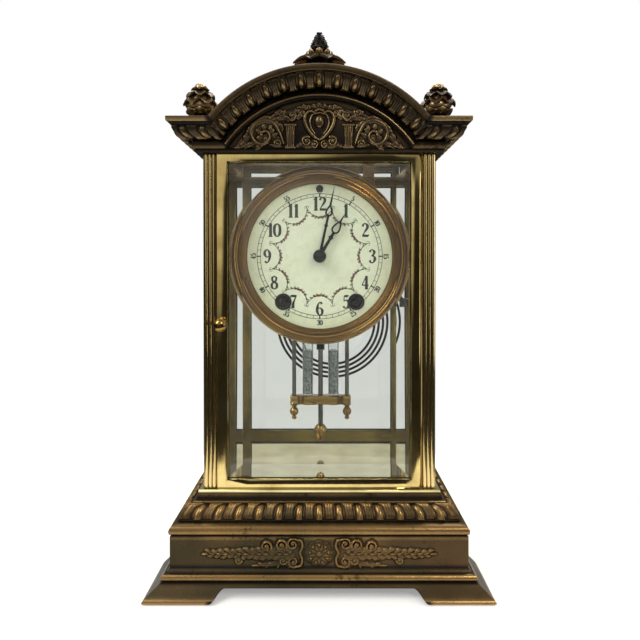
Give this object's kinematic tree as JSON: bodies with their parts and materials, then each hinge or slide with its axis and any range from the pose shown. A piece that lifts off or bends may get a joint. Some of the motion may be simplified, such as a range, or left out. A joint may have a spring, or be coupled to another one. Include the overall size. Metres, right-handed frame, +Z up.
{
  "type": "mantel clock",
  "caption": "Four-glass mantel clock with an arched cast pediment, glazed brass case with hinged doors, spring movement and twin-vial mercury pendulum.",
  "frame": {"origin": "middle of the base on the surface that the clock stands on", "axes": "+Z up, +X to the right as seen from the front, front door at -Y"},
  "size_m": [0.2298, 0.2048, 0.3823],
  "materials": {
    "cast_bronze": "antique bronze, worn bright on the mouldings",
    "dark_bronze": "dark patinated bronze",
    "polished_brass": "polished, slightly aged",
    "copper_brass": "polished, reddish",
    "steel": "satin",
    "black_steel": "blued black, satin",
    "porcelain": "glossy enamel",
    "glass": "clear, bevelled"
  },
  "bodies": {
    "case": {"back_plate": "polished_brass", "base_casting": "cast_bronze", "bezel": "copper_brass", "case_top_plate": "polished_brass", "centre_finial": "dark_bronze", "dial": "porcelain", "finial_front_left": "dark_bronze", "finial_front_right": "dark_bronze", "finial_rear_left": "dark_bronze", "finial_rear_right": "dark_bronze", "floor_plate": "polished_brass", "front_hinge_pin_bottom": "steel", "front_hinge_pin_top": "steel", "front_plate": "polished_brass", "gong_coil": "black_steel", "movement_ring": "polished_brass", "pillar_1": "polished_brass", "pillar_2": "polished_brass", "pillar_3": "polished_brass", "post_front_left": "polished_brass", "post_front_right": "polished_brass", "post_rear_left": "polished_brass", "post_rear_right": "polished_brass", "rear_hinge_pin_bottom": "steel", "rear_hinge_pin_top": "steel", "side_glass_left": "glass", "side_glass_right": "glass", "suspension_cock": "polished_brass", "top_casting": "dark_bronze"},
    "front_door": {"front_door_frame": "polished_brass", "front_door_glass": "glass"},
    "rear_door": {"rear_door_frame": "polished_brass", "rear_door_glass": "glass"},
    "front_latch": {"front_door_latch": "polished_brass"},
    "rear_latch": {"rear_door_latch": "polished_brass"},
    "minute_hand": {"minute_hand": "black_steel", "hand_nut": "black_steel", "centre_wheel": "polished_brass"},
    "hour_hand": {"hour_hand": "black_steel", "hour_wheel": "polished_brass"},
    "minute_wheel": {"minute_wheel": "polished_brass"},
    "second_wheel": {"second_wheel": "polished_brass"},
    "third_wheel": {"third_wheel": "polished_brass"},
    "escape_wheel": {"escape_wheel": "polished_brass"},
    "time_barrel": {"time_barrel": "polished_brass"},
    "strike_barrel": {"strike_barrel": "polished_brass"},
    "strike_wheel": {"strike_wheel": "polished_brass"},
    "fly": {"fly": "steel"},
    "time_winding_arbor": {"time_winding_arbor": "steel"},
    "strike_winding_arbor": {"strike_winding_arbor": "steel"},
    "regulator_arbor": {"regulator_arbor": "steel"},
    "pendulum": {"pendulum_rod": "steel", "suspension_spring": "steel", "pendulum_frame": "steel", "pendulum_bottom_bar": "polished_brass", "mercury_vial_left": "glass", "mercury_vial_right": "glass"},
    "rating_nut": {"rating_nut": "polished_brass"},
    "anchor": {"anchor": "steel"},
    "hammer": {"hammer": "polished_brass"}
  },
  "joints": [
    {"name": "front_door_swing", "type": "hinge", "parent": "case", "child": "front_door", "pos_m": [0.0691, -0.0665, 0.1813], "axis": [0, 0, 1], "range_deg": [0, 100]},
    {"name": "rear_door_swing", "type": "hinge", "parent": "case", "child": "rear_door", "pos_m": [0.0691, 0.0665, 0.1813], "axis": [0, 0, 1], "range_deg": [-100, 0]},
    {"name": "front_latch_turn", "type": "hinge", "parent": "front_door", "child": "front_latch", "pos_m": [-0.06785, -0.0665, 0.1794], "axis": [0, -1, 0], "range_deg": [0, 90]},
    {"name": "rear_latch_turn", "type": "hinge", "parent": "rear_door", "child": "rear_latch", "pos_m": [-0.06785, 0.0665, 0.187], "axis": [0, -1, 0], "range_deg": [0, 90]},
    {"name": "minute_hand_turn", "type": "hinge", "parent": "case", "child": "minute_hand", "pos_m": [0, -0.018, 0.2272], "axis": [0, 1, 0], "continuous": true},
    {"name": "hour_hand_turn", "type": "hinge", "parent": "case", "child": "hour_hand", "pos_m": [0, -0.018, 0.2272], "axis": [0, 1, 0], "continuous": true},
    {"name": "minute_wheel_turn", "type": "hinge", "parent": "case", "child": "minute_wheel", "pos_m": [-0.0087, -0.018, 0.2359], "axis": [0, 1, 0], "continuous": true},
    {"name": "second_wheel_turn", "type": "hinge", "parent": "case", "child": "second_wheel", "pos_m": [0.0121, -0.018, 0.2121], "axis": [0, 1, 0], "continuous": true},
    {"name": "third_wheel_turn", "type": "hinge", "parent": "case", "child": "third_wheel", "pos_m": [0.015, -0.018, 0.2416], "axis": [0, 1, 0], "continuous": true},
    {"name": "escape_wheel_turn", "type": "hinge", "parent": "case", "child": "escape_wheel", "pos_m": [0, -0.018, 0.2512], "axis": [0, 1, 0], "continuous": true},
    {"name": "time_barrel_turn", "type": "hinge", "parent": "case", "child": "time_barrel", "pos_m": [0.0267, -0.018, 0.1939], "axis": [0, 1, 0], "continuous": true},
    {"name": "strike_barrel_turn", "type": "hinge", "parent": "case", "child": "strike_barrel", "pos_m": [-0.0267, -0.018, 0.1939], "axis": [0, 1, 0], "continuous": true},
    {"name": "strike_wheel_turn", "type": "hinge", "parent": "case", "child": "strike_wheel", "pos_m": [-0.0121, -0.018, 0.2121], "axis": [0, 1, 0], "continuous": true},
    {"name": "fly_turn", "type": "hinge", "parent": "case", "child": "fly", "pos_m": [-0.0288, -0.018, 0.2182], "axis": [0, 1, 0], "continuous": true},
    {"name": "time_winding_turn", "type": "hinge", "parent": "case", "child": "time_winding_arbor", "pos_m": [0.0267, -0.018, 0.1939], "axis": [0, 1, 0], "continuous": true},
    {"name": "strike_winding_turn", "type": "hinge", "parent": "case", "child": "strike_winding_arbor", "pos_m": [-0.0267, -0.018, 0.1939], "axis": [0, 1, 0], "continuous": true},
    {"name": "regulator_turn", "type": "hinge", "parent": "case", "child": "regulator_arbor", "pos_m": [0, -0.043, 0.2768], "axis": [0, 1, 0], "continuous": true},
    {"name": "pendulum_swing", "type": "hinge", "parent": "case", "child": "pendulum", "pos_m": [0, 0.02, 0.2702], "axis": [0, 1, 0], "range_deg": [-4, 4]},
    {"name": "rating_nut_turn", "type": "hinge", "parent": "pendulum", "child": "rating_nut", "pos_m": [0, 0.02, 0.08], "axis": [0, 0, 1], "continuous": true},
    {"name": "anchor_rock", "type": "hinge", "parent": "case", "child": "anchor", "pos_m": [0, 0, 0.266], "axis": [0, 1, 0], "range_deg": [-5, 5]},
    {"name": "hammer_lift", "type": "hinge", "parent": "case", "child": "hammer", "pos_m": [0.044, 0.007, 0.2132], "axis": [0, 1, 0], "range_deg": [-12, 0]}
  ],
  "couplings": [
    {"joint": "hour_hand_turn", "follows": "minute_hand_turn", "ratio": 0.083333},
    {"joint": "minute_wheel_turn", "follows": "minute_hand_turn", "ratio": -0.33333},
    {"joint": "second_wheel_turn", "follows": "minute_hand_turn", "ratio": -0.2},
    {"joint": "time_barrel_turn", "follows": "minute_hand_turn", "ratio": 0.032},
    {"joint": "third_wheel_turn", "follows": "minute_hand_turn", "ratio": -7.5},
    {"joint": "escape_wheel_turn", "follows": "minute_hand_turn", "ratio": 47.5},
    {"joint": "strike_wheel_turn", "follows": "strike_barrel_turn", "ratio": -6.25},
    {"joint": "fly_turn", "follows": "strike_barrel_turn", "ratio": 39.583},
    {"joint": "anchor_rock", "follows": "pendulum_swing", "ratio": 1.15}
  ]
}
